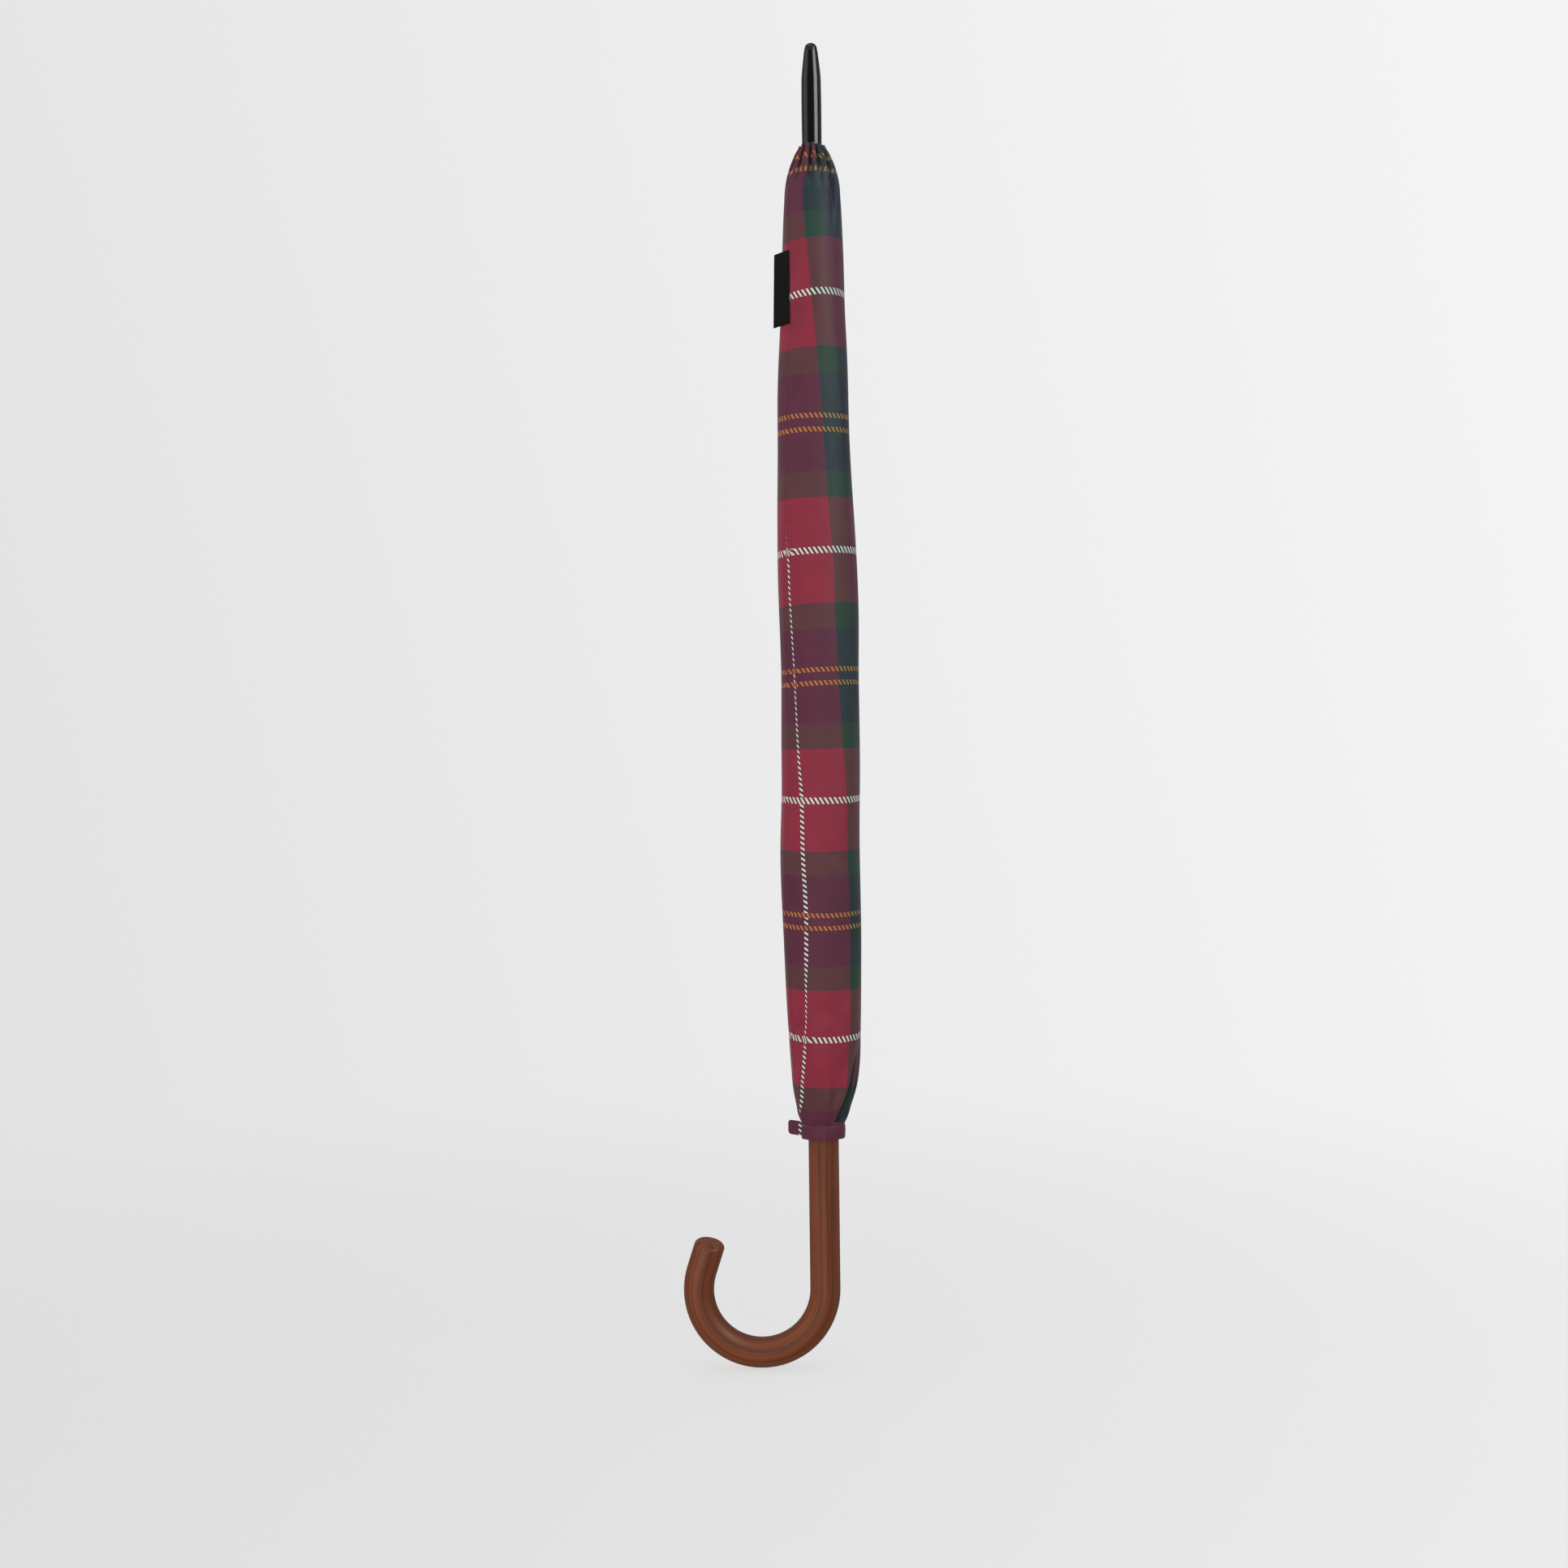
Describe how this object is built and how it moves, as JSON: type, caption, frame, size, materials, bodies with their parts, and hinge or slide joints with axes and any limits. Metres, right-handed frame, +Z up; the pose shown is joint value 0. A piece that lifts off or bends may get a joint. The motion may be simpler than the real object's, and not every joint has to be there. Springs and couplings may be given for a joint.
{
  "type": "stick umbrella",
  "caption": "Full-length umbrella with a wooden crook handle, folded ribs and canopy on a steel shaft, in a checked fabric carry sleeve.",
  "frame": {"origin": "on the shaft's axis in the middle of the straight hand grip", "axes": "+Z up the shaft towards the ferrule; the crook turns to -X; Y is across the crook's plane"},
  "size_m": [0.1232, 0.054, 0.9006],
  "materials": {
    "lacquered_wood": "satin lacquer over straight-grained reddish-brown wood",
    "black_gloss": "polished black",
    "steel_tube": "drawn tube, lightly brushed",
    "black_plastic": "moulded, fine satin",
    "bright_steel": "bright nickel",
    "black_steel": "black lacquered steel",
    "canopy_cloth": "thin woven check, slight sheen",
    "sleeve_cloth": "twill check, slight satin sheen",
    "hem_cloth": "folded twill hem, stitched",
    "label_cloth": "woven satin tape, blank"
  },
  "bodies": {
    "shaft": {"handle": "lacquered_wood", "shaft_tube": "steel_tube", "ferrule": "black_gloss", "top_notch": "black_plastic", "notch_wire": "bright_steel", "canopy_washer": "canopy_cloth", "canopy_cap": "black_gloss", "stop_pin": "bright_steel"},
    "runner": {"runner": "black_plastic", "runner_wire": "bright_steel"},
    "sleeve": {"carry_sleeve": "sleeve_cloth", "sleeve_hem": "hem_cloth", "sleeve_tab": "hem_cloth", "sleeve_label": "label_cloth"},
    "bottom_spring": {"bottom_spring": "bright_steel"},
    "top_spring": {"top_spring": "bright_steel"},
    "rib_1": {"rib_1": "black_steel", "rib_tip_1": "bright_steel", "tie_strap": "canopy_cloth", "tie_stud": "bright_steel"},
    "stretcher_1": {"stretcher_1": "black_steel"},
    "gore_1": {"gore_1": "canopy_cloth"},
    "rib_2": {"rib_2": "black_steel", "rib_tip_2": "bright_steel"},
    "stretcher_2": {"stretcher_2": "black_steel"},
    "gore_2": {"gore_2": "canopy_cloth"},
    "rib_3": {"rib_3": "black_steel", "rib_tip_3": "bright_steel"},
    "stretcher_3": {"stretcher_3": "black_steel"},
    "gore_3": {"gore_3": "canopy_cloth"},
    "rib_4": {"rib_4": "black_steel", "rib_tip_4": "bright_steel"},
    "stretcher_4": {"stretcher_4": "black_steel"},
    "gore_4": {"gore_4": "canopy_cloth"},
    "rib_5": {"rib_5": "black_steel", "rib_tip_5": "bright_steel"},
    "stretcher_5": {"stretcher_5": "black_steel"},
    "gore_5": {"gore_5": "canopy_cloth"},
    "rib_6": {"rib_6": "black_steel", "rib_tip_6": "bright_steel"},
    "stretcher_6": {"stretcher_6": "black_steel"},
    "gore_6": {"gore_6": "canopy_cloth"},
    "rib_7": {"rib_7": "black_steel", "rib_tip_7": "bright_steel"},
    "stretcher_7": {"stretcher_7": "black_steel"},
    "gore_7": {"gore_7": "canopy_cloth"},
    "rib_8": {"rib_8": "black_steel", "rib_tip_8": "bright_steel"},
    "stretcher_8": {"stretcher_8": "black_steel"},
    "gore_8": {"gore_8": "canopy_cloth"}
  },
  "joints": [
    {"name": "runner_slide", "type": "slide", "parent": "shaft", "child": "runner", "axis": [0, 0, 1], "range_m": [0, 0.30468], "deforming": ["carry_sleeve", "sleeve_hem", "sleeve_tab", "sleeve_label"]},
    {"name": "sleeve_slide", "type": "slide", "parent": "shaft", "child": "sleeve", "axis": [0, 0, 1], "range_m": [0, 0.76], "deforming": ["carry_sleeve", "sleeve_hem", "sleeve_tab", "sleeve_label"]},
    {"name": "bottom_spring_press", "type": "hinge", "parent": "shaft", "child": "bottom_spring", "pos_m": [0.0015, 0, 0.095], "axis": [0, -1, 0], "range_deg": [0, 7], "stiffness_Nm_per_rad": 0.3},
    {"name": "top_spring_press", "type": "hinge", "parent": "shaft", "child": "top_spring", "pos_m": [0.0015, 0, 0.3705], "axis": [0, -1, 0], "range_deg": [0, 7], "stiffness_Nm_per_rad": 0.3},
    {"name": "rib_1_hinge", "type": "hinge", "parent": "shaft", "child": "rib_1", "pos_m": [0.0097, 0.00402, 0.702], "axis": [0.3827, -0.9239, 0], "range_deg": [0, 60]},
    {"name": "rib_2_hinge", "type": "hinge", "parent": "shaft", "child": "rib_2", "pos_m": [0.00402, 0.0097, 0.702], "axis": [0.9239, -0.3827, 0], "range_deg": [0, 60]},
    {"name": "rib_3_hinge", "type": "hinge", "parent": "shaft", "child": "rib_3", "pos_m": [-0.00402, 0.0097, 0.702], "axis": [0.9239, 0.3827, 0], "range_deg": [0, 60]},
    {"name": "rib_4_hinge", "type": "hinge", "parent": "shaft", "child": "rib_4", "pos_m": [-0.0097, 0.00402, 0.702], "axis": [0.3827, 0.9239, 0], "range_deg": [0, 60]},
    {"name": "rib_5_hinge", "type": "hinge", "parent": "shaft", "child": "rib_5", "pos_m": [-0.0097, -0.00402, 0.702], "axis": [-0.3827, 0.9239, 0], "range_deg": [0, 60]},
    {"name": "rib_6_hinge", "type": "hinge", "parent": "shaft", "child": "rib_6", "pos_m": [-0.00402, -0.0097, 0.702], "axis": [-0.9239, 0.3827, 0], "range_deg": [0, 60]},
    {"name": "rib_7_hinge", "type": "hinge", "parent": "shaft", "child": "rib_7", "pos_m": [0.00402, -0.0097, 0.702], "axis": [-0.9239, -0.3827, 0], "range_deg": [0, 60]},
    {"name": "rib_8_hinge", "type": "hinge", "parent": "shaft", "child": "rib_8", "pos_m": [0.0097, -0.00402, 0.702], "axis": [-0.3827, -0.9239, 0], "range_deg": [0, 60]},
    {"name": "stretcher_1_hinge", "type": "hinge", "parent": "rib_1", "child": "stretcher_1", "pos_m": [0.01582, 0.00655, 0.412], "axis": [-0.3827, 0.9239, 0], "range_deg": [0, 121.32]},
    {"name": "stretcher_2_hinge", "type": "hinge", "parent": "rib_2", "child": "stretcher_2", "pos_m": [0.00655, 0.01582, 0.412], "axis": [-0.9239, 0.3827, 0], "range_deg": [0, 121.32]},
    {"name": "stretcher_3_hinge", "type": "hinge", "parent": "rib_3", "child": "stretcher_3", "pos_m": [-0.00655, 0.01582, 0.412], "axis": [-0.9239, -0.3827, 0], "range_deg": [0, 121.32]},
    {"name": "stretcher_4_hinge", "type": "hinge", "parent": "rib_4", "child": "stretcher_4", "pos_m": [-0.01582, 0.00655, 0.412], "axis": [-0.3827, -0.9239, 0], "range_deg": [0, 121.32]},
    {"name": "stretcher_5_hinge", "type": "hinge", "parent": "rib_5", "child": "stretcher_5", "pos_m": [-0.01582, -0.00655, 0.412], "axis": [0.3827, -0.9239, 0], "range_deg": [0, 121.32]},
    {"name": "stretcher_6_hinge", "type": "hinge", "parent": "rib_6", "child": "stretcher_6", "pos_m": [-0.00655, -0.01582, 0.412], "axis": [0.9239, -0.3827, 0], "range_deg": [0, 121.32]},
    {"name": "stretcher_7_hinge", "type": "hinge", "parent": "rib_7", "child": "stretcher_7", "pos_m": [0.00655, -0.01582, 0.412], "axis": [0.9239, 0.3827, 0], "range_deg": [0, 121.32]},
    {"name": "stretcher_8_hinge", "type": "hinge", "parent": "rib_8", "child": "stretcher_8", "pos_m": [0.01582, -0.00655, 0.412], "axis": [0.3827, 0.9239, 0], "range_deg": [0, 121.32]},
    {"name": "gore_1_fold", "type": "hinge", "parent": "rib_1", "child": "gore_1", "pos_m": [0.00804, 0.00804, 0.702], "axis": [0.6239, 0.6239, -0.4706], "range_deg": [0, 44.12]},
    {"name": "gore_2_fold", "type": "hinge", "parent": "rib_2", "child": "gore_2", "pos_m": [0, 0.01137, 0.702], "axis": [0, 0.8823, -0.4706], "range_deg": [0, 44.12]},
    {"name": "gore_3_fold", "type": "hinge", "parent": "rib_3", "child": "gore_3", "pos_m": [-0.00804, 0.00804, 0.702], "axis": [-0.6239, 0.6239, -0.4706], "range_deg": [0, 44.12]},
    {"name": "gore_4_fold", "type": "hinge", "parent": "rib_4", "child": "gore_4", "pos_m": [-0.01137, 0, 0.702], "axis": [-0.8823, 0, -0.4706], "range_deg": [0, 44.12]},
    {"name": "gore_5_fold", "type": "hinge", "parent": "rib_5", "child": "gore_5", "pos_m": [-0.00804, -0.00804, 0.702], "axis": [-0.6239, -0.6239, -0.4706], "range_deg": [0, 44.12]},
    {"name": "gore_6_fold", "type": "hinge", "parent": "rib_6", "child": "gore_6", "pos_m": [0, -0.01137, 0.702], "axis": [0, -0.8823, -0.4706], "range_deg": [0, 44.12]},
    {"name": "gore_7_fold", "type": "hinge", "parent": "rib_7", "child": "gore_7", "pos_m": [0.00804, -0.00804, 0.702], "axis": [0.6239, -0.6239, -0.4706], "range_deg": [0, 44.12]},
    {"name": "gore_8_fold", "type": "hinge", "parent": "rib_8", "child": "gore_8", "pos_m": [0.01137, 0, 0.702], "axis": [0.8823, 0, -0.4706], "range_deg": [0, 44.12]}
  ],
  "couplings": [
    {"joint": "rib_1_hinge", "follows": "runner_slide", "rad_per_m": 3.437},
    {"joint": "rib_2_hinge", "follows": "runner_slide", "rad_per_m": 3.437},
    {"joint": "rib_3_hinge", "follows": "runner_slide", "rad_per_m": 3.437},
    {"joint": "rib_4_hinge", "follows": "runner_slide", "rad_per_m": 3.437},
    {"joint": "rib_5_hinge", "follows": "runner_slide", "rad_per_m": 3.437},
    {"joint": "rib_6_hinge", "follows": "runner_slide", "rad_per_m": 3.437},
    {"joint": "rib_7_hinge", "follows": "runner_slide", "rad_per_m": 3.437},
    {"joint": "rib_8_hinge", "follows": "runner_slide", "rad_per_m": 3.437},
    {"joint": "stretcher_1_hinge", "follows": "runner_slide", "rad_per_m": 6.9498},
    {"joint": "stretcher_2_hinge", "follows": "runner_slide", "rad_per_m": 6.9498},
    {"joint": "stretcher_3_hinge", "follows": "runner_slide", "rad_per_m": 6.9498},
    {"joint": "stretcher_4_hinge", "follows": "runner_slide", "rad_per_m": 6.9498},
    {"joint": "stretcher_5_hinge", "follows": "runner_slide", "rad_per_m": 6.9498},
    {"joint": "stretcher_6_hinge", "follows": "runner_slide", "rad_per_m": 6.9498},
    {"joint": "stretcher_7_hinge", "follows": "runner_slide", "rad_per_m": 6.9498},
    {"joint": "stretcher_8_hinge", "follows": "runner_slide", "rad_per_m": 6.9498},
    {"joint": "gore_1_fold", "follows": "runner_slide", "rad_per_m": 2.5276},
    {"joint": "gore_2_fold", "follows": "runner_slide", "rad_per_m": 2.5276},
    {"joint": "gore_3_fold", "follows": "runner_slide", "rad_per_m": 2.5276},
    {"joint": "gore_4_fold", "follows": "runner_slide", "rad_per_m": 2.5276},
    {"joint": "gore_5_fold", "follows": "runner_slide", "rad_per_m": 2.5276},
    {"joint": "gore_6_fold", "follows": "runner_slide", "rad_per_m": 2.5276},
    {"joint": "gore_7_fold", "follows": "runner_slide", "rad_per_m": 2.5276},
    {"joint": "gore_8_fold", "follows": "runner_slide", "rad_per_m": 2.5276}
  ]
}
